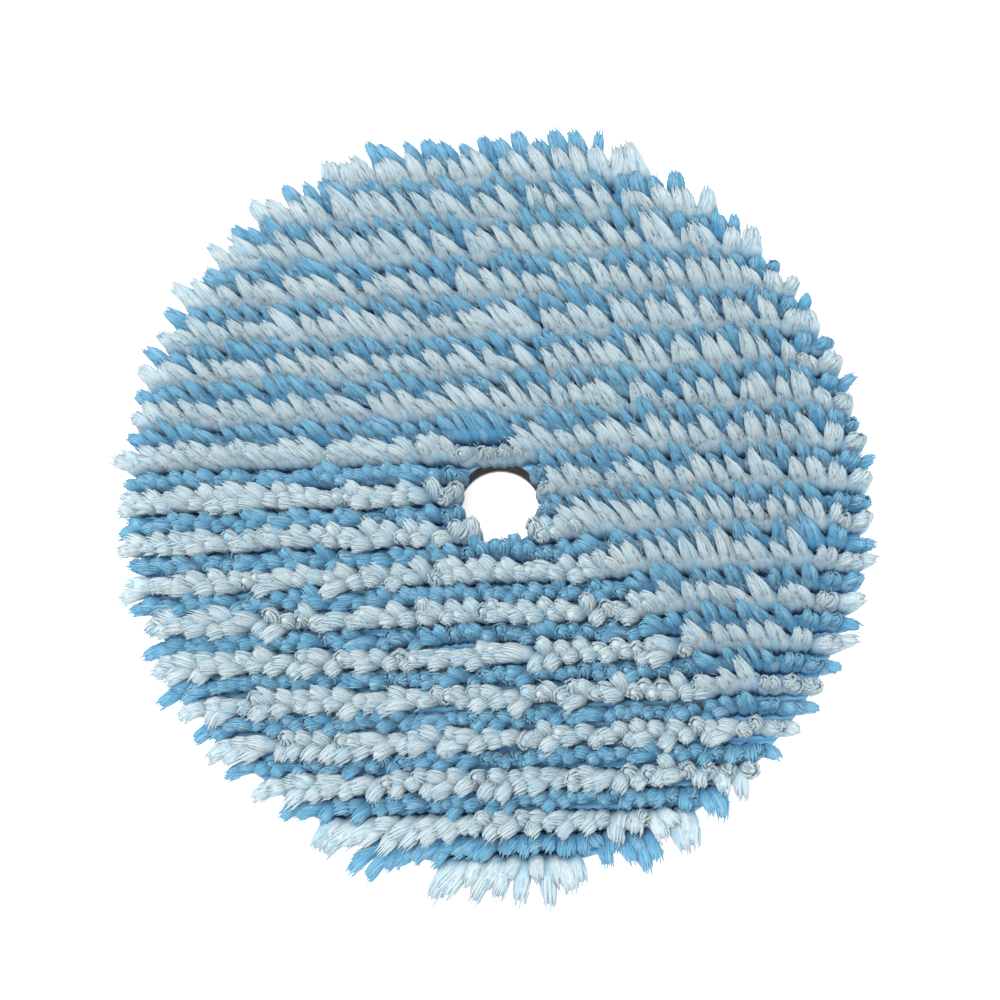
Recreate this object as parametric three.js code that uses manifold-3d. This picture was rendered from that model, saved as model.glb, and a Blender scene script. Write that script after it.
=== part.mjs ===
// A polishing pad of blue and white twisted microfibre pile, for an orbital polisher. Millimetres.
// The pad lies on its loop face, tufts up. +Z runs up through the centre hole and the rows run along X.
import * as THREE from "three";
import { mergeVertices } from "three/addons/utils/BufferGeometryUtils.js";
import Module from "manifold-3d";

// Driving dimensions.
const PAD_DIAMETER = 144; // the pile cloth and the wide end of the foam, as cut
const LOOP_DIAMETER = 132; // the loop disc and the narrow end of the foam
const PILE_SPREAD = 1; // how far the pile leans out past the cloth's cut edge
const HOLE_DIAMETER = 17; // through every layer
const LOOP_THICKNESS = 1.5;
const GLUE_THICKNESS = 0.3;
const FOAM_THICKNESS = 10;
const CLOTH_THICKNESS = 1;
const PILE_HEIGHT = 12;
const PILE_SHOULDER = 5; // radius of the pile's outer top edge
const PILE_LIP = 1.5; // radius of the pile's top edge round the hole
const ROW_PITCH = 3.97; // tufting gauge, 5/32 inch
const ROW_OFFSET = 0.8; // how far past the hole's centre the middle row lies, because the cloth is cut at random
const ROW_GAP = 0.3; // clearance between neighbouring rows
const ROW_CROWN = 0.8; // how far a row's top is rounded down at its sides
const EDGE_MARGIN = 1; // a row is stitched at least this far inside the cloth's edge

// How finely curves are cut.
const ROUND_SEGMENTS = 72;
const CORNER_STEPS = 4;

const padRadius = PAD_DIAMETER / 2;
const loopRadius = LOOP_DIAMETER / 2;
const holeRadius = HOLE_DIAMETER / 2;
const pileRadius = padRadius + PILE_SPREAD;
const foamBottom = LOOP_THICKNESS + GLUE_THICKNESS;
const foamTop = foamBottom + FOAM_THICKNESS;
const clothBottom = foamTop + GLUE_THICKNESS;
const clothTop = clothBottom + CLOTH_THICKNESS;
const pileTop = clothTop + PILE_HEIGHT;
const rowWidth = ROW_PITCH - ROW_GAP;
const stitchReach = padRadius - EDGE_MARGIN;
const firstRow = Math.ceil((-stitchReach - ROW_OFFSET) / ROW_PITCH);
const lastRow = Math.floor((stitchReach - ROW_OFFSET) / ROW_PITCH);

const wasm = await Module();
wasm.setup();

const charcoalLoop = new THREE.MeshStandardMaterial({
  color: 0x3c4046,
  roughness: 0.95,
  metalness: 0,
});
const clearGlue = new THREE.MeshStandardMaterial({
  color: 0xb8b4a6,
  roughness: 0.45,
  metalness: 0,
});
const charcoalFoam = new THREE.MeshStandardMaterial({
  color: 0x34383d,
  roughness: 0.9,
  metalness: 0,
});
const knitCloth = new THREE.MeshStandardMaterial({
  color: 0x6f9dbb,
  roughness: 0.9,
  metalness: 0,
});
const whiteYarn = new THREE.MeshStandardMaterial({
  color: 0xc3d2d8,
  roughness: 0.85,
  metalness: 0,
});
const blueYarn = new THREE.MeshStandardMaterial({
  color: 0x5f9cc4,
  roughness: 0.85,
  metalness: 0,
});

// A solid from one closed geometry.
function solidOf(geometry) {
  const bare = geometry.clone();
  bare.deleteAttribute("normal");
  bare.deleteAttribute("uv");
  const merged = mergeVertices(bare, 1e-4);
  const mesh = new wasm.Mesh({
    numProp: 3,
    vertProperties: merged.attributes.position.array,
    triVerts: new Uint32Array(merged.index.array),
  });
  return new wasm.Manifold(mesh);
}

// The geometry of a solid, ready for a mesh.
function geometryOf(solid) {
  const { numProp, vertProperties, triVerts } = solid.getMesh();
  const corners = new THREE.InterleavedBuffer(vertProperties, numProp);
  const indexed = new THREE.BufferGeometry();
  indexed.setAttribute("position", new THREE.InterleavedBufferAttribute(corners, 3, 0));
  indexed.setIndex(new THREE.BufferAttribute(triVerts, 1));
  const geometry = indexed.toNonIndexed();
  geometry.computeVertexNormals();
  return geometry;
}

// Points of [radius, height] turned round the Z axis. The profile closes on itself, anticlockwise.
function turned(profile) {
  const points = [...profile, profile[0]].map(([r, z]) => new THREE.Vector2(r, z));
  return new THREE.LatheGeometry(points, ROUND_SEGMENTS).rotateX(Math.PI / 2);
}

// A quarter circle from the angle start, in degrees, as points of [radius, height].
function corner(centreRadius, centreHeight, radius, start) {
  return Array.from({ length: CORNER_STEPS + 1 }, (_, i) => {
    const angle = THREE.MathUtils.degToRad(start + (90 * i) / CORNER_STEPS);
    return [centreRadius + radius * Math.cos(angle), centreHeight + radius * Math.sin(angle)];
  });
}

// A flat ring, or a cone with the hole through it where the top is wider than the bottom.
function layer(bottomRadius, topRadius, bottom, top) {
  return turned([
    [holeRadius, bottom],
    [bottomRadius, bottom],
    [topRadius, top],
    [holeRadius, top],
  ]);
}

// The outer shape of the whole pile: it leans out from the cloth's edge and is rounded over at the top.
function pileEnvelope() {
  const shoulder = Math.min(PILE_SHOULDER, PILE_HEIGHT / 2);
  return turned([
    [holeRadius, clothTop],
    [padRadius, clothTop],
    ...corner(pileRadius - shoulder, pileTop - shoulder, shoulder, 0),
    ...corner(holeRadius + PILE_LIP, pileTop - PILE_LIP, PILE_LIP, 90),
  ]);
}

// A bar along X, crowned on top, between two places in X and two in Y.
function rowBar([fromX, toX], [fromY, toY]) {
  const middle = (fromY + toY) / 2;
  const crownStart = pileTop - ROW_CROWN;
  const section = new THREE.Shape();
  section.moveTo(fromY, clothTop);
  section.lineTo(toY, clothTop);
  section.lineTo(toY, crownStart);
  section.quadraticCurveTo(toY, pileTop, middle, pileTop);
  section.quadraticCurveTo(fromY, pileTop, fromY, crownStart);
  const bar = new THREE.ExtrudeGeometry(section, {
    depth: toX - fromX,
    bevelEnabled: false,
    curveSegments: 2,
  });
  // The section is drawn in Y and Z, so the extrusion's own axes turn into Y, Z and X.
  const axes = new THREE.Matrix4().set(0, 0, 1, fromX, 1, 0, 0, 0, 0, 1, 0, 0, 0, 0, 0, 1);
  return bar.applyMatrix4(axes);
}

function addMesh(group, name, geometry, material) {
  const mesh = new THREE.Mesh(geometry, material);
  mesh.name = name;
  group.add(mesh);
}

// The loop disc, the foam and the film of glue between them stay with the polisher's plate.
function backing() {
  const group = new THREE.Group();
  addMesh(group, "loop_disc", layer(loopRadius, loopRadius, 0, LOOP_THICKNESS), charcoalLoop);
  const lowerFilm = layer(loopRadius, loopRadius, LOOP_THICKNESS, foamBottom);
  addMesh(group, "lower_glue_film", lowerFilm, clearGlue);
  addMesh(group, "foam_core", layer(loopRadius, padRadius, foamBottom, foamTop), charcoalFoam);
  return group;
}

// The pile cloth and its rows of tufts, which move down together as the foam is squeezed.
function face() {
  const group = new THREE.Group();
  const upperFilm = layer(padRadius, padRadius, foamTop, clothBottom);
  addMesh(group, "upper_glue_film", upperFilm, clearGlue);
  addMesh(group, "ground_cloth", layer(padRadius, padRadius, clothBottom, clothTop), knitCloth);
  const envelope = solidOf(pileEnvelope());
  for (let row = firstRow; row <= lastRow; row += 1) {
    addRow(group, row, envelope);
  }
  return group;
}

function addRow(group, row, envelope) {
  const material = isWhite(row) ? whiteYarn : blueYarn;
  for (const [side, along] of stretchesOf(row)) {
    const bar = solidOf(rowBar(along, sidesOf(row)));
    addMesh(group, rowName(row) + side, geometryOf(envelope.intersect(bar)), material);
  }
}

function isWhite(row) {
  return row % 2 === 0;
}

// Row 0 is the white one that meets the hole's centre. The others count outwards from it.
function rowName(row) {
  const colour = isWhite(row) ? "white" : "blue";
  if (row === 0) return `${colour}_row_middle`;
  const number = String(Math.abs(row)).padStart(2, "0");
  return `${colour}_row_${row < 0 ? "front" : "rear"}_${number}`;
}

function stitchLine(row) {
  return row * ROW_PITCH + ROW_OFFSET;
}

// A row's two sides in Y. The first and the last row spread out to the edge of the pile.
function sidesOf(row) {
  const y = stitchLine(row);
  return [
    row === firstRow ? -pileRadius - ROW_GAP : y - rowWidth / 2,
    row === lastRow ? pileRadius + ROW_GAP : y + rowWidth / 2,
  ];
}

// A row's ends in X. A row whose stitch line meets the hole is two pieces, one on each side of it.
function stretchesOf(row) {
  const reach = pileRadius + ROW_GAP;
  const inside = holeRadius ** 2 - stitchLine(row) ** 2;
  if (inside <= 0) return [["", [-reach, reach]]];
  const wall = Math.max(Math.sqrt(inside), ROW_GAP);
  return [["_left", [-reach, -wall]], ["_right", [wall, reach]]];
}

const pad = new THREE.Group();
pad.add(backing(), face());

export default pad;
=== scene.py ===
"""A blue and white twisted-pile polishing pad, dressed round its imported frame. Lengths are in metres."""
import math

import bpy
import numpy as np
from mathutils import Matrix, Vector, noise


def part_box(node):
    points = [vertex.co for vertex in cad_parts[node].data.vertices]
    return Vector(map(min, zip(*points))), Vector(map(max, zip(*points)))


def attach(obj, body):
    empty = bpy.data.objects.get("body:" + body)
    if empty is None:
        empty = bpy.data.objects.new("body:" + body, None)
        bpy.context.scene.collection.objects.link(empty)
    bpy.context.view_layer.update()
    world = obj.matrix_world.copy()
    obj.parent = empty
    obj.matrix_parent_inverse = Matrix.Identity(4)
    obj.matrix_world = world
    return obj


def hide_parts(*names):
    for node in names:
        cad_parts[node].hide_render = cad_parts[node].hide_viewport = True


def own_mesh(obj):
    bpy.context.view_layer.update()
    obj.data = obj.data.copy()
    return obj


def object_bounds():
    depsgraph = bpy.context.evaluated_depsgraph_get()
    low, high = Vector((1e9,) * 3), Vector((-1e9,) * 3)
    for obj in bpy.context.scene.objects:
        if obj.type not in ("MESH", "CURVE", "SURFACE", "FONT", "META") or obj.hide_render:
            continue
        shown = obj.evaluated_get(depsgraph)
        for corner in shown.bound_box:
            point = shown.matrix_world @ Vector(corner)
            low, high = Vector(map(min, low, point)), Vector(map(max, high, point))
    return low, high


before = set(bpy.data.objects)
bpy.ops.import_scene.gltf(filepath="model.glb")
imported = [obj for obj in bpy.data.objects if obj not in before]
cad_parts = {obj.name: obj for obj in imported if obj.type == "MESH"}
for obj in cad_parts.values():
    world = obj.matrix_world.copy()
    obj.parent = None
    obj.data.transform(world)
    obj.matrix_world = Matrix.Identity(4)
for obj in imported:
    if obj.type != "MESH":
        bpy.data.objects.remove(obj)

cad_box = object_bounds()
MM = 0.001

# ---------------------------------------------------------------- the frame's own sizes


def rim_radii(node):
    """The smallest and largest distance of a round layer's corners from the hole's axis."""
    points = np.array([v.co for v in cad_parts[node].data.vertices])
    across = np.hypot(points[:, 0], points[:, 1])
    return float(across.min()), float(across.max())


HOLE_RADIUS, CLOTH_RADIUS = rim_radii("ground_cloth")
LOOP_RADIUS = rim_radii("loop_disc")[1]
CLOTH_LOW, CLOTH_TOP = (corner.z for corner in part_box("ground_cloth"))
FOAM_LOW, FOAM_TOP = (corner.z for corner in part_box("foam_core"))
LOOP_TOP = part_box("loop_disc")[1].z
PILE_TOP = cad_box[1].z
PILE_HEIGHT = PILE_TOP - CLOTH_TOP
ROWS = sorted(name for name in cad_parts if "_row_" in name)
FACE, BACKING = "face", "backing"

# ---------------------------------------------------------------- camera, light and floor

CAMERA_DISTANCE = 0.529
CAMERA_ELEVATION = math.radians(80.5)
CAMERA_AZIMUTH = math.radians(-1.8)
CAMERA_LENS = 97.5
CAMERA_AIM = Vector((-0.0001, -0.0014, PILE_TOP))
DAYLIGHT = 0.85  # strength of the even light from all round
SOFTBOXES = {
    "overhead_softbox": {"place": (-0.08, -0.06, 0.7), "size": 0.32, "power": 4.0},
    "key_softbox": {"place": (-0.4, 0.5, 0.7), "size": 0.6, "power": 1.5},
}
FLOOR_SIZE = 6
FLOOR_DROP = 0.2 * MM
TABLE_WHITE = (0.93, 0.93, 0.93, 1)
TABLE_GLOW = 0.62


def set_camera():
    """The camera, almost straight above the pad."""
    back = Vector((
        math.sin(CAMERA_AZIMUTH) * math.cos(CAMERA_ELEVATION),
        -math.cos(CAMERA_AZIMUTH) * math.cos(CAMERA_ELEVATION),
        math.sin(CAMERA_ELEVATION),
    ))
    data = bpy.data.cameras.new("camera")
    data.lens = CAMERA_LENS
    data.clip_start = 0.01
    camera = bpy.data.objects.new("camera", data)
    camera.location = CAMERA_AIM + back * CAMERA_DISTANCE
    camera.rotation_euler = (-back).to_track_quat("-Z", "Y").to_euler()
    bpy.context.scene.collection.objects.link(camera)
    bpy.context.scene.camera = camera


def add_softbox(name, place, size, power):
    """A round lamp that shines on the pad and doesn't show in the view."""
    data = bpy.data.lights.new(name, "AREA")
    data.shape = "DISK"
    data.size = size
    data.energy = power
    lamp = bpy.data.objects.new(name, data)
    lamp.location = place
    lamp.rotation_euler = (-Vector(place)).to_track_quat("-Z", "Y").to_euler()
    lamp.visible_camera = False
    bpy.context.scene.collection.objects.link(lamp)


def set_light():
    scene = bpy.context.scene
    scene.view_settings.view_transform = "Standard"
    world = bpy.data.worlds.new("studio")
    world.use_nodes = True
    background = world.node_tree.nodes["Background"]
    background.inputs["Color"].default_value = (1, 1, 1, 1)
    background.inputs["Strength"].default_value = DAYLIGHT
    scene.world = world
    for name, softbox in SOFTBOXES.items():
        add_softbox(name, **softbox)


# ---------------------------------------------------------------- materials


def srgb(red, green, blue):
    """A colour given as it looks on screen, 0 to 255, in the shader's linear scale."""
    scale = [c / 255 for c in (red, green, blue)]
    linear = [c / 12.92 if c <= 0.04045 else ((c + 0.055) / 1.055) ** 2.4 for c in scale]
    return (*linear, 1.0)


class Value:
    """One output in a material. Arithmetic on it adds Math nodes."""

    def __init__(self, finish, socket):
        self.finish = finish
        self.socket = socket

    def math(self, operation, first, second=0.0):
        return self.finish.node("Math", {"operation": operation}, {0: first, 1: second})

    def __add__(self, other):
        return self.math("ADD", self, other)

    def __sub__(self, other):
        return self.math("SUBTRACT", self, other)

    def __rsub__(self, other):
        return self.math("SUBTRACT", other, self)

    def __mul__(self, other):
        return self.math("MULTIPLY", self, other)

    __radd__ = __add__
    __rmul__ = __mul__


class Finish:
    """A material with one Principled surface, built node by node."""

    def __init__(self, name, **constants):
        self.material = bpy.data.materials.new(name)
        self.material.use_nodes = True
        self.tree = self.material.node_tree
        self.surface = self.tree.nodes["Principled BSDF"]
        for socket, value in constants.items():
            self.surface.inputs[socket.replace("_", " ")].default_value = value

    def node(self, kind, settings=None, inputs=None, output=0):
        made = self.tree.nodes.new("ShaderNode" + kind)
        for name, value in (settings or {}).items():
            if name == "stops":
                self.set_stops(made.color_ramp, value)
            else:
                setattr(made, name, value)
        for name, value in (inputs or {}).items():
            if isinstance(value, Value):
                self.tree.links.new(value.socket, made.inputs[name])
            else:
                made.inputs[name].default_value = value
        return Value(self, made.outputs[output])

    @staticmethod
    def set_stops(ramp, stops):
        while len(ramp.elements) < len(stops):
            ramp.elements.new(1.0)
        for element, (place, colour) in zip(ramp.elements, stops):
            element.position = place
            element.color = colour

    def ramp(self, value, stops):
        return self.node("ValToRGB", {"stops": stops}, {0: value})

    def mix(self, share, first, second):
        return self.node("Mix", {"data_type": "RGBA"}, {0: share, 6: first, 7: second}, 2)

    def noise(self, place, scale, detail=2.0, roughness=0.5):
        inputs = {"Vector": place, "Scale": scale, "Detail": detail, "Roughness": roughness}
        return self.node("TexNoise", None, inputs)

    def object_place(self):
        return self.node("TexCoord", None, None, "Object")

    def feed(self, socket, value):
        self.tree.links.new(value.socket, self.surface.inputs[socket])

    def bump(self, height, distance):
        inputs = {"Height": height, "Distance": distance, "Strength": 1.0}
        self.feed("Normal", self.node("Bump", None, inputs))


NONE, ALL = (0, 0, 0, 1), (1, 1, 1, 1)
YARN_MAP = "OFBake"  # u: which of the yarn's shades, and round the strand; v: from root to tip
YARN_SHADES = 64
SHADE_EDGE = 0.1  # the share of a shade's column left clear on each side
STREAK_STRETCH = 1.6  # how often the streaks change along a strand
SHADE_OFFSET = 3.7  # keeps the streaks of one shade apart from those of the next
# Each root colour is painted shade: darker and bluer than the middle, for the shade deep among the tufts
# near the cloth.
YARN_COLOURS = {
    "white_yarn": {
        "root": srgb(132, 184, 211),
        "middle": srgb(202, 215, 218),
        "tip": srgb(184, 196, 200),
        "stray": srgb(138, 184, 208),
        "streak_dark": srgb(160, 192, 207),
        "streak_light": srgb(202, 211, 213),
    },
    "blue_yarn": {
        "root": srgb(84, 157, 204),
        "middle": srgb(98, 162, 198),
        "tip": srgb(116, 171, 199),
        "stray": srgb(168, 198, 209),
        "streak_dark": srgb(84, 152, 191),
        "streak_light": srgb(144, 188, 206),
    },
}


def yarn_finish(name, root, middle, tip, stray, streak_dark, streak_light):
    """Twisted microfibre: every strand has its own shade, some are strays, fine streaks run along it, and
    painted shade darkens it towards the roots.
    """
    sheen = {"Sheen_Weight": 0.12, "Sheen_Roughness": 0.4}
    yarn = Finish(name, Roughness=0.85, Specular_IOR_Level=0.2, **sheen)
    place = yarn.node("UVMap", {"uv_map": YARN_MAP})
    u = yarn.node("SeparateXYZ", None, {0: place}, "X")
    v = yarn.node("SeparateXYZ", None, {0: place}, "Y")
    columns = u * YARN_SHADES
    column = yarn.node("Math", {"operation": "FLOOR"}, {0: columns})
    turn = (columns - column - SHADE_EDGE) * (2 * math.pi / (1 - 2 * SHADE_EDGE))
    across = yarn.node("Math", {"operation": "COSINE"}, {0: turn})
    round_it = yarn.node("Math", {"operation": "SINE"}, {0: turn})
    along_it = v * STREAK_STRETCH + column * SHADE_OFFSET
    fibre_place = yarn.node("CombineXYZ", None, {0: across, 1: round_it, 2: along_it})
    streaks = yarn.noise(fibre_place, 3.2, 3.0, 0.6)
    shade = yarn.node("TexWhiteNoise", {"noise_dimensions": "1D"}, {"W": column})
    # Painted shade: the colour darkens and turns bluer from the middle down to the root.
    along = yarn.ramp(v, ((0.25, root), (0.55, middle), (0.92, tip)))
    is_stray = yarn.ramp(shade, ((0.72, NONE), (0.86, ALL)))
    strayed = yarn.mix(is_stray * 0.6, along, stray)
    is_light = yarn.ramp(shade, ((0.0, ALL), (0.4, NONE)))
    shaded = yarn.mix(is_light * 0.5, strayed, streak_light)
    is_dark = yarn.ramp(streaks, ((0.38, ALL), (0.62, NONE)))
    yarn.feed("Base Color", yarn.mix(is_dark * 0.45, shaded, streak_dark))
    yarn.bump(streaks, 0.1 * MM)
    return yarn.material


def foam_finish():
    """Charcoal foam with open cells, paler and darker in patches, with painted shade in the pits the cells
    leave.
    """
    foam = Finish("charcoal_foam", Roughness=0.92, Specular_IOR_Level=0.2)
    place = foam.object_place()
    cells = foam.node("TexVoronoi", {"feature": "F1"}, {"Vector": place, "Scale": 1600.0})
    large = foam.noise(place, 160.0, 2.0)
    # The middle of each cell, where the bump sinks a pit, is darkest: painted shade.
    tone = foam.ramp(cells, ((0.15, srgb(22, 24, 27)), (0.55, srgb(62, 66, 71)), (0.9, srgb(88, 92, 98))))
    foam.feed("Base Color", foam.mix(large * 0.5, tone, srgb(48, 51, 56)))
    foam.bump(cells, 0.3 * MM)
    return foam.material


def knit_finish():
    """The ground cloth: fine knitted ribs along the rows, dyed the blue of the yarn, with painted shade in
    the troughs between the ribs.
    """
    knit = Finish("ground_knit", Roughness=0.9, Sheen_Weight=0.2)
    place = knit.object_place()
    wave = {"Vector": place, "Scale": 250.0, "Distortion": 1.5}
    ribs = knit.node("TexWave", {"bands_direction": "Y"}, wave)
    fuzz = knit.noise(place, 1800.0, 3.0)
    # The ramp runs darkest where the bump dips, in the troughs between the ribs: painted shade.
    tone = knit.ramp(ribs * 0.7 + fuzz * 0.3, ((0.2, srgb(86, 156, 202)), (0.8, srgb(136, 192, 222))))
    knit.feed("Base Color", tone)
    knit.bump(ribs + fuzz * 0.5, 0.15 * MM)
    return knit.material


def glue_finish():
    """Dried glue, clouded and slightly glossy."""
    glue = Finish("glue", Roughness=0.35, Coat_Weight=0.3)
    place = glue.object_place()
    cloud = glue.noise(place, 220.0, 3.0)
    glue.feed("Base Color", glue.ramp(cloud, ((0.3, srgb(150, 142, 118)), (0.7, srgb(188, 182, 160)))))
    glue.bump(cloud, 0.1 * MM)
    return glue.material


def loop_finish():
    """Dark loop fabric, worn lighter and darker in patches, with painted shade in the hollows of its knit.
    """
    loop = Finish("loop_fabric", Roughness=0.88, Sheen_Weight=0.4, Sheen_Roughness=0.4)
    place = loop.object_place()
    knit = loop.node("TexVoronoi", {"feature": "F1"}, {"Vector": place, "Scale": 1500.0})
    patches = loop.noise(place, 60.0, 3.0)
    # The middle of each knit cell, where the bump sinks a hollow, is darkest: painted shade.
    tone = loop.ramp(knit, ((0.1, srgb(36, 39, 44)), (0.8, srgb(78, 83, 91))))
    loop.feed("Base Color", loop.mix(patches * 0.5, tone, srgb(56, 60, 67)))
    loop.bump(knit, 0.2 * MM)
    return loop.material


def floor_finish():
    """A light table: it glows softly from below, so it takes no dark contact shadow."""
    glow = {"Emission_Color": TABLE_WHITE, "Emission_Strength": TABLE_GLOW}
    return Finish("light_table", Roughness=0.6, Base_Color=TABLE_WHITE, **glow).material


# ---------------------------------------------------------------- modelling helpers

MERGE_GAP = 1e-6


def begin(name, add, **options):
    """Adds a primitive with nothing else selected and opens it in edit mode."""
    bpy.ops.object.select_all(action="DESELECT")
    add(**options)
    piece = bpy.context.object
    piece.name = name
    bpy.ops.object.mode_set(mode="EDIT")
    return piece


def end(piece):
    """Closes seams, turns faces outwards, leaves edit mode and puts the piece's place in its mesh."""
    bpy.ops.mesh.select_all(action="SELECT")
    bpy.ops.mesh.remove_doubles(threshold=MERGE_GAP)
    bpy.ops.mesh.normals_make_consistent(inside=False)
    bpy.ops.object.mode_set(mode="OBJECT")
    bpy.ops.object.transform_apply(location=True, rotation=True, scale=True)
    return piece


def extrude_to(step, scale):
    """Extrudes what is selected by a step up or down, and scales it from the axis."""
    bpy.ops.mesh.extrude_region_move(TRANSFORM_OT_translate={"value": (0, 0, step)})
    bpy.ops.transform.resize(value=(scale, scale, 1), center_override=(0, 0, 0))


def turned_ring(name, profile, segments):
    """A closed ring round the axis whose section goes through the profile's [radius, height] points."""
    (radius, height), *rest = profile
    start = {"radius": radius, "location": (0, 0, height)}
    piece = begin(name, bpy.ops.mesh.primitive_circle_add, vertices=segments, **start)
    bpy.ops.mesh.select_all(action="SELECT")
    for next_radius, next_height in [*rest, profile[0]]:
        bpy.ops.mesh.extrude_edges_move(TRANSFORM_OT_translate={"value": (0, 0, next_height - height)})
        ratio = next_radius / radius
        bpy.ops.transform.resize(value=(ratio, ratio, 1), center_override=(0, 0, 0))
        radius, height = next_radius, next_height
    return end(piece)


def stepped(start, stop, count):
    """Points from start to stop, without stop."""
    return [tuple(a + (b - a) * i / count for a, b in zip(start, stop)) for i in range(count)]


def copied_faces(faces, each, copies, first=0):
    """The faces of copies of a shape that has a number of points each, counted from the first point."""
    return [[first + k * each + v for v in face] for k in range(copies) for face in faces]


def add_copies(name, points, faces):
    """The copies of a modelled shape as one piece, with its place in its mesh."""
    mesh = bpy.data.meshes.new(name)
    mesh.from_pydata(points.tolist(), [], faces)
    mesh.shade_smooth()
    piece = bpy.data.objects.new(name, mesh)
    bpy.context.scene.collection.objects.link(piece)
    return piece


def dress(piece, material, body, slot, *nodes):
    """Gives a piece its finish and the body it moves with, and hides the CAD nodes it stands for. The slot
    is not used.
    """
    piece.data.materials.clear()
    piece.data.materials.append(material)
    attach(piece, body)
    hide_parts(*nodes)
    return piece


# ---------------------------------------------------------------- pile

# Each profile lists [height, radius] up a rod one unit long, which then closes in a point.
STRAND_SIDES, STRAND_PROFILE = 4, ((0.0, 0.7), (0.34, 0.95), (0.6, 1.0), (0.78, 0.85), (0.92, 0.45))
CORE_SIDES, CORE_PROFILE = 8, ((0.0, 1.5), (0.4, 1.6), (0.62, 1.3), (0.8, 1.05), (0.94, 0.6))
FIBRE_SIDES, FIBRE_PROFILE = 3, ((0.0, 1.0), (0.5, 0.8))
STITCH_PITCH = 3.6 * MM
LEG_SPACING = STITCH_PITCH / 2
STITCH_INSET = 0.35 * MM  # from the cloth's cut edges to the nearest stitch
ROOT_DEPTH = 0.2 * MM  # how deep the yarn goes into the cloth
ROOT_JITTER = 0.15 * MM
STRANDS_IN_LEG = 16
STRAND_RADIUS = 0.33 * MM
CORE_RADIUS = 1.15 * MM
FIBRES_IN_LEG = 8
FIBRE_RADIUS = 0.08 * MM
# Each pair is the least and the most that a strand or fibre may have.
STRAND_LENGTHS = (0.86, 1.04)
STRAND_ORBITS = (0.75, 1.05)
STRAND_WIDTHS = (0.85, 1.2)
FIBRE_STARTS = (0.4, 0.92)
FIBRE_LENGTHS = (0.12, 0.26)
FIBRE_SPREADS = (0.3, 1.2)
ROOT_ORBIT = 0.8 * MM  # how far from the yarn end's middle the strands start
FIBRE_ORBIT = 1.1 * MM
STRAND_TWIST, TWIST_SPREAD = 2.0, 0.4  # in radians, from root to tip
RIM_START = 0.86  # the share of the cloth's radius where tufts begin to lean outwards
COMBED_FROM = 8 * MM  # the Y where the combed pile starts, at the left
COMBED_BEND, COMBED_BEND_FROM = 12, 20 * MM  # how the border curves to the front on the right
COMBED_BLUR = 7 * MM
SIDE_WAVE, AHEAD_WAVE = (9 * MM, 3.1), (11 * MM, 8.4)  # the width and the seed of the pile's soft waves
HOLE_CLEARANCE, CLEARANCE_SPREAD, FRONT_OVERHANG = 0.7, 0.35, 2.4  # in mm
# How each yarn's tufts stand: their lean, how far a stitch's two ends part, their height and fullness.
WHITE_TUFTS = {
    "lean": 1.1, "lean_combed": 0.06, "apart": 1.3, "height": 1.0, "height_combed": 0.0, "fullness": 1.0,
}
BLUE_TUFTS = {
    "lean": 0.9, "lean_combed": 0.08, "apart": 0.8, "height": 0.79, "height_combed": 0.07, "fullness": 0.86,
}


def model_rod(name, sides, profile):
    """A rod one unit long that follows the profile and closes in a point."""
    (height, radius), *rest = profile
    rod = begin(name, bpy.ops.mesh.primitive_circle_add, vertices=sides, radius=radius, fill_type="NGON")
    bpy.ops.mesh.select_all(action="SELECT")
    for next_height, next_radius in rest:
        extrude_to(next_height - height, next_radius / radius)
        height, radius = next_height, next_radius
    bpy.ops.mesh.extrude_region_move(TRANSFORM_OT_translate={"value": (0, 0, 1 - height)})
    bpy.ops.mesh.merge(type="CENTER")
    return end(rod)


class Rod:
    """A modelled rod's points, faces and the place of each face corner on the yarn's map."""

    def __init__(self, name, sides, profile):
        piece = model_rod(name, sides, profile)
        mesh = piece.data
        self.points = np.array([v.co for v in mesh.vertices])
        self.faces = [list(p.vertices) for p in mesh.polygons]
        self.corners = np.concatenate([self.corner_places(face) for face in self.faces])
        bpy.data.objects.remove(piece)

    def corner_places(self, face):
        """(turn, height) of each corner, with the turn unbroken over the face."""
        flat = self.points[face][:, :2]
        off_axis = np.hypot(*flat.T) > 1e-6
        turns = np.arctan2(flat[:, 1], flat[:, 0]) / (2 * math.pi) % 1
        if off_axis.any() and np.ptp(turns[off_axis]) > 0.5:
            turns = np.where(turns < 0.5, turns + 1, turns)
        if off_axis.any():
            turns[~off_axis] = turns[off_axis].mean()
        return np.stack([turns.clip(0, 1), self.points[face][:, 2]], 1)


def smoothstep(low, high, value):
    """0 below low, 1 above high, and a smooth rise between."""
    share = np.clip((value - low) / (high - low), 0, 1)
    return share * share * (3 - 2 * share)


def ripple(x, y, scale, seed):
    """Smooth noise from -1 to 1 over the cloth, one value for each point."""
    return np.array([noise.noise(Vector((a / scale, b / scale, seed))) for a, b in zip(x, y)])


def combed(x, y):
    """1 where the pile has been brushed to the rear left in even tufts, and 0 where it stands loose."""
    border = COMBED_FROM - COMBED_BEND * np.maximum(x + COMBED_BEND_FROM, 0) ** 2
    return smoothstep(-COMBED_BLUR, COMBED_BLUR, y - border)


def rim_share(reach):
    """0 over most of the cloth, and up to 1 at its cut edge."""
    return smoothstep(RIM_START, 1.0, reach)


def loose_lean(across, up):
    """The loose pile's lean in mm: to the left, and away from the middle row."""
    return -3.2 + 0.8 * across, 0.5 + 2.8 * up + 0.6 * across


def combed_lean(across, up):
    """The brushed pile's lean in mm: to the rear left, and more to the rear on the right."""
    right = smoothstep(0.2, 0.95, across)
    return -4.5 + 1.6 * right, 3.1 + 1.2 * up + 1.2 * smoothstep(-0.3, 0.5, across)


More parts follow.
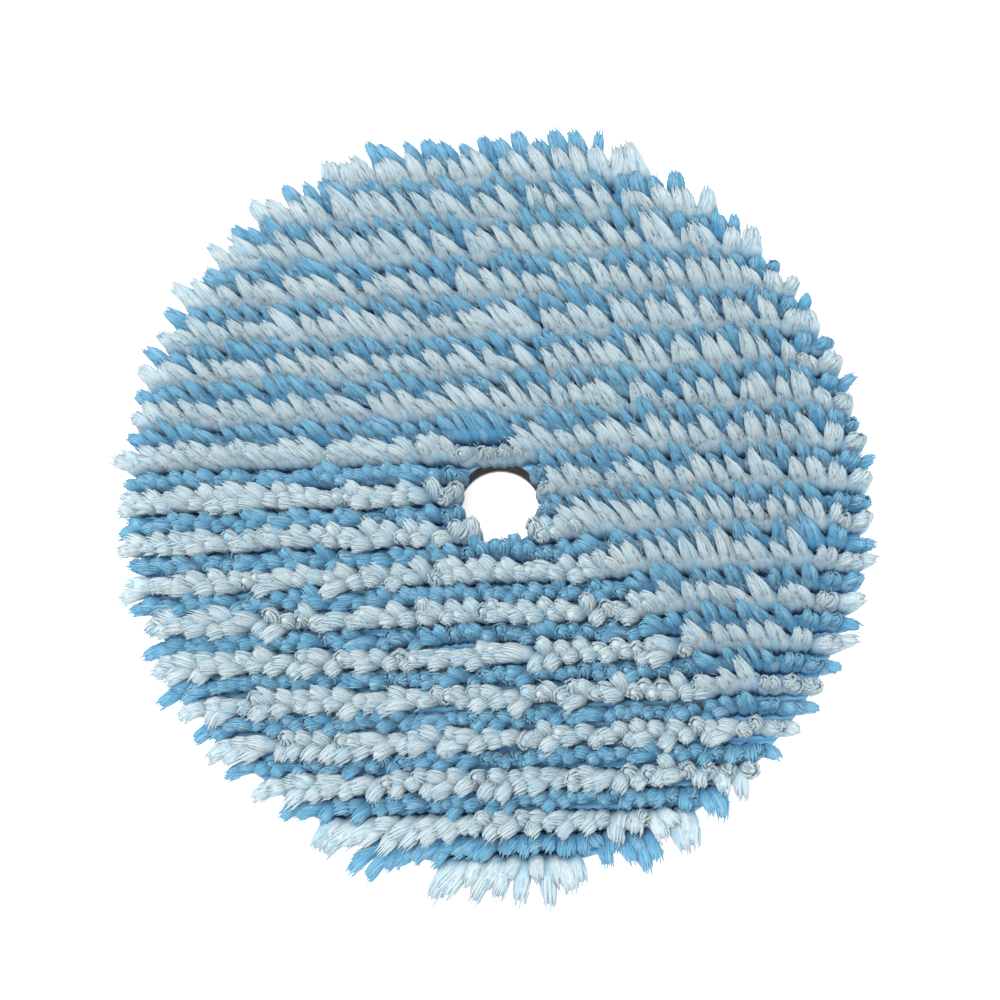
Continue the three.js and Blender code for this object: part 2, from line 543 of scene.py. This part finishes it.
def rim_lean(x, to_side, to_rear, at_rim):
    """Lean in mm away from the axis, and the fan of the front fringe; the two shares give the direction."""
    straight_ahead = smoothstep(-0.8, -1.0, to_rear)
    right_front = smoothstep(0.0, 0.5, to_side) * smoothstep(0.2, -0.3, to_rear)
    rear = smoothstep(0.6, 1.0, to_rear)
    outward = at_rim * (1.5 + 2.8 * straight_ahead + 2.2 * right_front + 1.4 * rear)
    fan = (3.6 + 1.2 * np.sign(x)) * at_rim * straight_ahead * np.tanh(x / (12 * MM))
    return outward, fan


def lean(x, y):
    """How far a tuft's tip lies from its root, in X and Y, before its own chance."""
    across, up = x / CLOTH_RADIUS, y / CLOTH_RADIUS
    reach = np.hypot(across, up)
    to_side, to_rear = across / reach, up / reach
    order = combed(x, y)
    side, ahead = loose_lean(across, up)
    combed_side, combed_ahead = combed_lean(across, up)
    side = side + (combed_side - side) * order
    ahead = ahead + (combed_ahead - ahead) * order
    beside_hole = 1 - smoothstep(0, 6 * MM, np.hypot(x, y) - HOLE_RADIUS)
    at_rim = rim_share(reach)
    steady = 1 - 0.8 * beside_hole
    steady = steady * (1 - (0.35 + 0.35 * smoothstep(0.3, 0.9, to_side)) * at_rim)
    outward, fan = rim_lean(x, to_side, to_rear, at_rim)
    outward = outward - beside_hole * (1.2 + 2.2 * smoothstep(0.3, 1.0, -to_rear))
    side = side * steady + outward * across / reach + fan
    ahead = ahead * steady + outward * up / reach
    return side * MM, ahead * MM


def stitch_line(node):
    """The Y of a row's stitches. An outer row's box reaches the pile's edge, so its inner side counts."""
    low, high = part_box(node)
    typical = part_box("white_row_middle_left")
    half = (typical[1].y - typical[0].y) / 2
    middle = (low.y + high.y) / 2
    if high.y - low.y < 2.2 * half:
        return middle
    return low.y + half if middle > 0 else high.y - half


def leg_roots(node, chance):
    """X and Y of a row's yarn ends, spread evenly between the cloth's cut edges, and -1 or +1 in turn."""
    y = stitch_line(node)
    outer = math.sqrt((CLOTH_RADIUS - STITCH_INSET) ** 2 - y * y)
    inner = math.sqrt(max((HOLE_RADIUS + STITCH_INSET) ** 2 - y * y, 0))
    ends = {"left": (-outer, -inner), "right": (inner, outer)}
    low, high = ends.get(node.split("_")[-1], (-outer, outer))
    count = round((high - low) / LEG_SPACING) + 1
    x = np.linspace(low, high, count)
    partner = np.where(np.arange(count) % 2, 1.0, -1.0)
    x[1:-1] += chance.normal(0, ROOT_JITTER, count - 2)
    y = y + chance.normal(0, ROOT_JITTER, count)
    kept = np.hypot(x, y) > HOLE_RADIUS + 0.2 * MM
    return x[kept], y[kept], partner[kept]


def kept_out_of_hole(tip_x, tip_y, chance):
    """Tips held back unevenly at the hole's wall, which they reach over a little more on the front side."""
    reach = np.maximum(np.hypot(tip_x, tip_y), 1e-6)
    uneven = chance.normal(0, CLEARANCE_SPREAD, len(reach))
    overhang = FRONT_OVERHANG * smoothstep(0.3, 1.0, -tip_y / reach)
    clear = HOLE_RADIUS + (HOLE_CLEARANCE + uneven - overhang) * MM
    push = np.maximum(clear / reach, 1.0)
    return tip_x * push, tip_y * push


def pair_chance(count, spread, chance):
    """A random number for each yarn end, the same for the two of one stitch."""
    return np.repeat(chance.normal(0, spread, count // 2 + 1), 2)[:count]


def leg_tips(x, y, partner, order, tufts, chance):
    """How far each yarn end's tip lies from its root, in X and Y."""
    size = len(x)
    loose = 1 - order
    side, ahead = lean(x, y)
    share = (tufts["lean"] + tufts["lean_combed"] * order) * (1 + pair_chance(size, 0.14, chance))
    side = side * share + (0.7 + 0.4 * loose) * MM * ripple(x, y, *SIDE_WAVE)
    ahead = ahead * share + (0.5 + 0.4 * loose) * MM * ripple(x, y, *AHEAD_WAVE)
    side = side + (pair_chance(size, 0.7, chance) + chance.normal(0, 1, size) * (0.15 + 0.5 * loose)) * MM
    ahead = ahead + (pair_chance(size, 0.5, chance) + chance.normal(0, 1, size) * (0.1 + 0.4 * loose)) * MM
    side = side - partner * order * 0.8 * MM
    apart = tufts["apart"] * (1 + pair_chance(size, 0.4, chance))
    ahead = ahead + partner * (0.15 + apart * loose) * MM
    tip_x, tip_y = kept_out_of_hole(x + side, y + ahead, chance)
    return tip_x - x, tip_y - y


def leg_curves(node, tufts, chance):
    """Four control points for each yarn end, how neatly it closes, and how much it stands upright."""
    x, y, partner = leg_roots(node, chance)
    size = len(x)
    order = combed(x, y)
    side, ahead = leg_tips(x, y, partner, order, tufts, chance)
    loose = 1 - order
    at_rim = rim_share(np.hypot(x, y) / CLOTH_RADIUS)
    full = PILE_HEIGHT * (tufts["height"] + tufts["height_combed"] * order)
    height = full * (1 + chance.normal(0, 0.04, size)) * (1 - 0.25 * at_rim)
    root = np.stack([x, y, np.full(size, CLOTH_TOP - ROOT_DEPTH)], 1)
    shift = np.stack([side, ahead, np.zeros(size)], 1)
    up = np.stack([np.zeros(size), np.zeros(size), height], 1)
    upright = 1 - smoothstep(1.0 * MM, 3.5 * MM, np.hypot(side, ahead))
    curl = ((0.1 * loose + 0.25 * at_rim) * (1 - upright))[:, None]
    bend = root + (0.5 + 0.15 * loose[:, None]) * shift + (0.84 + 1.2 * curl) * up
    points = [root, root + 0.1 * shift + 0.42 * up, bend, root + shift + (1 - curl) * up]
    neat = order * (1 - 0.6 * at_rim)
    return np.stack(points, 1), neat, upright


def along_curve(controls, share):
    """Places and directions on cubic curves, at each share of their length."""
    t = share[..., None]
    u = 1 - t
    a, b, c, d = (controls[:, None, None, i] for i in range(4))
    place = u ** 3 * a + 3 * u * u * t * b + 3 * u * t * t * c + t ** 3 * d
    ahead = 3 * (u * u * (b - a) + 2 * u * t * (c - b) + t * t * (d - c))
    return place, ahead / np.linalg.norm(ahead, axis=-1, keepdims=True)


def crossways(direction):
    """Two directions at right angles to each direction, turned the least from X and Y."""
    x, y, z = (direction[..., i] for i in range(3))
    first = np.stack([1 - x * x / (1 + z), -x * y / (1 + z), -x], -1)
    second = np.stack([-x * y / (1 + z), 1 - y * y / (1 + z), -y], -1)
    return first, second


def swept(rod, controls, share, orbit, angle, thick):
    """Copies of a rod along the yarn ends: each runs at its orbit and angle round the yarn end's curve."""
    place, direction = along_curve(controls, share)
    first, second = crossways(direction)
    flat_x = orbit * np.cos(angle) + rod.points[:, 0] * thick
    flat_y = orbit * np.sin(angle) + rod.points[:, 1] * thick
    return (place + flat_x[..., None] * first + flat_y[..., None] * second).reshape(-1, 3)


def strand_points(rod, controls, neat, upright, fullness, chance):
    """The strands that lie round each yarn end's core."""
    size = (len(controls), STRANDS_IN_LEG, 1)
    neat = neat[:, None, None]
    upright = upright[:, None, None]
    share = rod.points[:, 2] * chance.uniform(*STRAND_LENGTHS, size)
    bloom = (1.45 - 0.63 * neat + 0.3 * upright) * fullness * MM
    orbit = ROOT_ORBIT + (bloom - ROOT_ORBIT) * smoothstep(-0.1, 0.65, share)
    close = 0.22 + 0.38 * neat + 0.6 * upright * (1 - neat)
    orbit = orbit * (1 - close * smoothstep(0.65, 1.05, share)) * chance.uniform(*STRAND_ORBITS, size)
    start = np.arange(STRANDS_IN_LEG)[None, :, None] * 2 * math.pi / STRANDS_IN_LEG
    start = start + chance.uniform(0, 2 * math.pi, (len(controls), 1, 1)) + chance.normal(0, 0.1, size)
    angle = start + chance.normal(STRAND_TWIST, TWIST_SPREAD, (len(controls), 1, 1)) * share
    thick = STRAND_RADIUS * fullness * chance.uniform(*STRAND_WIDTHS, size)
    return swept(rod, controls, share, orbit, angle, thick)


def core_points(rod, controls, neat, upright, fullness):
    """The middle of each yarn end, which stands for all that its strands hide."""
    neat = neat[:, None, None]
    upright = upright[:, None, None]
    share = rod.points[:, 2] * (0.93 - 0.09 * upright)
    slim = 1 - (0.5 * neat + 0.35 * upright * (1 - neat)) * smoothstep(0.3, 0.55, share)
    return swept(rod, controls, share, 0.0, 0.0, CORE_RADIUS * fullness * slim)


def fibre_points(rod, controls, chance):
    """The loose fibres that stand out near the tips."""
    size = (len(controls), FIBRES_IN_LEG, 1)
    share = chance.uniform(*FIBRE_STARTS, size) + rod.points[:, 2] * chance.uniform(*FIBRE_LENGTHS, size)
    orbit = FIBRE_ORBIT + rod.points[:, 2] * chance.uniform(*FIBRE_SPREADS, size) * MM
    return swept(rod, controls, share, orbit, chance.uniform(0, 2 * math.pi, size), FIBRE_RADIUS)


def map_places(rod, copies, chance):
    """Where each face corner of each copy lies on the yarn's map."""
    column = chance.integers(0, YARN_SHADES, (copies, 1))
    turn = SHADE_EDGE + (1 - 2 * SHADE_EDGE) * rod.corners[None, :, 0]
    u = (column + turn) / YARN_SHADES
    v = np.broadcast_to(rod.corners[None, :, 1], u.shape)
    return np.stack([u, v], -1).reshape(-1, 2)


def build_row(node, yarn, rods, material, chance):
    """One row of tufts, from its CAD bar's place: every strand and fibre is a copy of a modelled rod."""
    tufts = WHITE_TUFTS if yarn == "white_yarn" else BLUE_TUFTS
    fullness = tufts["fullness"]
    controls, neat, upright = leg_curves(node, tufts, chance)
    strand, core, fibre = rods
    parts = (
        (strand, STRANDS_IN_LEG, strand_points(strand, controls, neat, upright, fullness, chance)),
        (core, 1, core_points(core, controls, neat, upright, fullness)),
        (fibre, FIBRES_IN_LEG, fibre_points(fibre, controls, chance)),
    )
    points, faces, places = [], [], []
    first = 0
    for rod, in_leg, part in parts:
        copies = len(controls) * in_leg
        points.append(part)
        faces += copied_faces(rod.faces, len(rod.points), copies, first)
        places.append(map_places(rod, copies, chance))
        first += len(part)
    row = add_copies(node + "_tufts", np.concatenate(points), faces)
    layer = row.data.uv_layers.new(name=YARN_MAP)
    layer.uv.foreach_set("vector", np.concatenate(places).astype(np.float32).ravel())
    return dress(row, material, FACE, yarn, node)


def build_pile():
    finishes = {yarn: yarn_finish(yarn, **colours) for yarn, colours in YARN_COLOURS.items()}
    rods = (
        Rod("strand", STRAND_SIDES, STRAND_PROFILE),
        Rod("core", CORE_SIDES, CORE_PROFILE),
        Rod("fibre", FIBRE_SIDES, FIBRE_PROFILE),
    )
    chance = np.random.default_rng(7)
    for node in ROWS:
        yarn = "white_yarn" if node.startswith("white") else "blue_yarn"
        build_row(node, yarn, rods, finishes[yarn], chance)


# ---------------------------------------------------------------- layers

ROUND = 360  # points round a layer's edge
FOAM_SKIN = 0.1 * MM  # what the open cells leave clear at the foam's faces
CELL_WIDTH = 0.9 * MM
CELL_DEPTH, CELL_DEPTH_SPREAD = 0.12, 0.22  # in mm
BEAD = 0.2 * MM  # how far the glue is squeezed out
BEAD_RIPPLE, BEAD_RIPPLE_WIDTH = 0.25 * MM, 3 * MM
LOOPS = 3000
LOOP_WIDTH = 1.1 * MM
LOOP_THREAD = 0.08 * MM
NAP_HEIGHT = 0.45 * MM


def build_ground_cloth():
    profile = [
        *stepped((HOLE_RADIUS, CLOTH_LOW), (CLOTH_RADIUS, CLOTH_LOW), 24),
        *stepped((CLOTH_RADIUS, CLOTH_LOW), (CLOTH_RADIUS, CLOTH_TOP), 2),
        *stepped((CLOTH_RADIUS, CLOTH_TOP), (HOLE_RADIUS, CLOTH_TOP), 24),
        (HOLE_RADIUS, CLOTH_TOP),
    ]
    cloth = turned_ring("ground_cloth_knit", profile, ROUND)
    dress(cloth, knit_finish(), FACE, "ground_knit", "ground_cloth")


def dig_cells(foam):
    """Uneven pits in the foam's cut walls, where the open cells show."""
    points = np.array([v.co for v in foam.data.vertices])
    on_wall = (points[:, 2] > FOAM_LOW + FOAM_SKIN) & (points[:, 2] < FOAM_TOP - FOAM_SKIN)
    out = points * (1, 1, 0)
    out = out / np.linalg.norm(out, axis=1, keepdims=True)
    pits = np.array([noise.noise(Vector(p) / CELL_WIDTH) for p in points])
    inward = np.where(np.hypot(points[:, 0], points[:, 1]) > 2 * HOLE_RADIUS, -1, 1)
    depth = (CELL_DEPTH + CELL_DEPTH_SPREAD * np.abs(pits)) * MM
    points += out * (inward * on_wall * depth)[:, None]
    foam.data.vertices.foreach_set("co", points.astype(np.float32).ravel())


def build_foam():
    walls = 16
    profile = [
        *stepped((HOLE_RADIUS, FOAM_LOW), (LOOP_RADIUS, FOAM_LOW), 6),
        *stepped((LOOP_RADIUS, FOAM_LOW), (CLOTH_RADIUS, FOAM_TOP), walls),
        *stepped((CLOTH_RADIUS, FOAM_TOP), (HOLE_RADIUS, FOAM_TOP), 6),
        *stepped((HOLE_RADIUS, FOAM_TOP), (HOLE_RADIUS, FOAM_LOW), walls),
    ]
    foam = turned_ring("foam_block", profile, 2 * ROUND)
    dig_cells(foam)
    foam.data.shade_smooth()
    dress(foam, foam_finish(), BACKING, "foam", "foam_core")
    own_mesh(foam)


def build_film(name, node, body, material, seed):
    """A film of glue with a slightly uneven bead squeezed out at its edges."""
    low, high = (corner.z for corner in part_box(node))
    inner, outer = rim_radii(node)
    middle = (low + high) / 2
    profile = [(inner, low), (outer, low), (outer + BEAD, middle), (outer, high), (inner, high)]
    film = turned_ring(name, profile, ROUND)
    for vertex in film.data.vertices:
        if abs(vertex.co.z - middle) < 0.01 * MM:
            bead = noise.noise(Vector((vertex.co.x, vertex.co.y, seed)) / BEAD_RIPPLE_WIDTH)
            vertex.co.xy *= 1 + BEAD_RIPPLE * bead / outer
    film.data.shade_smooth()
    dress(film, material, body, "glue", node)


def model_loop():
    """One loop of the nap: half a turn of thread, hanging from its two feet."""
    start = {"radius": LOOP_THREAD, "location": (LOOP_WIDTH / 2, 0, 0), "fill_type": "NGON"}
    loop = begin("loop", bpy.ops.mesh.primitive_circle_add, vertices=3, **start)
    bpy.ops.mesh.select_all(action="SELECT")
    bpy.ops.mesh.spin(steps=4, angle=-math.pi, center=(0, 0, 0), axis=(0, 1, 0))
    end(loop)
    points = np.array([v.co for v in loop.data.vertices])
    faces = [list(p.vertices) for p in loop.data.polygons]
    bpy.data.objects.remove(loop)
    points[:, 2] = NAP_HEIGHT * (1 - 0.98 * points[:, 2] / points[:, 2].min())
    return points, faces


def build_loop_nap(material):
    """The nap that the machine's hooks catch: loops lying every way over the underside."""
    points, faces = model_loop()
    chance = np.random.default_rng(11)
    nearest, farthest = HOLE_RADIUS + LOOP_WIDTH, LOOP_RADIUS - LOOP_WIDTH
    reach = np.sqrt(chance.uniform(nearest ** 2, farthest ** 2, LOOPS))
    around = chance.uniform(0, 2 * math.pi, LOOPS)
    turn = chance.uniform(0, 2 * math.pi, LOOPS)[:, None]
    x = (reach * np.cos(around))[:, None] + points[:, 0] * np.cos(turn) - points[:, 1] * np.sin(turn)
    y = (reach * np.sin(around))[:, None] + points[:, 0] * np.sin(turn) + points[:, 1] * np.cos(turn)
    z = np.broadcast_to(points[:, 2], x.shape)
    places = np.stack([x, y, z], -1).reshape(-1, 3)
    nap = add_copies("loop_nap", places, copied_faces(faces, len(points), LOOPS))
    return dress(nap, material, BACKING, "loop_fabric", "loop_disc")


def build_loop_disc():
    material = loop_finish()
    profile = [
        *stepped((HOLE_RADIUS, NAP_HEIGHT), (LOOP_RADIUS, NAP_HEIGHT), 24),
        *stepped((LOOP_RADIUS, NAP_HEIGHT), (LOOP_RADIUS, LOOP_TOP), 2),
        *stepped((LOOP_RADIUS, LOOP_TOP), (HOLE_RADIUS, LOOP_TOP), 6),
        (HOLE_RADIUS, LOOP_TOP),
    ]
    fabric = turned_ring("loop_fabric", profile, ROUND)
    dress(fabric, material, BACKING, "loop_fabric", "loop_disc")
    nap = build_loop_nap(material)


def build_floor():
    place = (0, 0, -FLOOR_DROP)
    floor = begin("floor", bpy.ops.mesh.primitive_plane_add, size=FLOOR_SIZE, location=place)
    end(floor)
    floor.data.materials.append(floor_finish())


set_camera()
set_light()
build_floor()
build_pile()
build_foam()
build_ground_cloth()
glue = glue_finish()
build_film("upper_glue_line", "upper_glue_film", FACE, glue, 2.0)
build_film("lower_glue_line", "lower_glue_film", BACKING, glue, 5.0)
build_loop_disc()
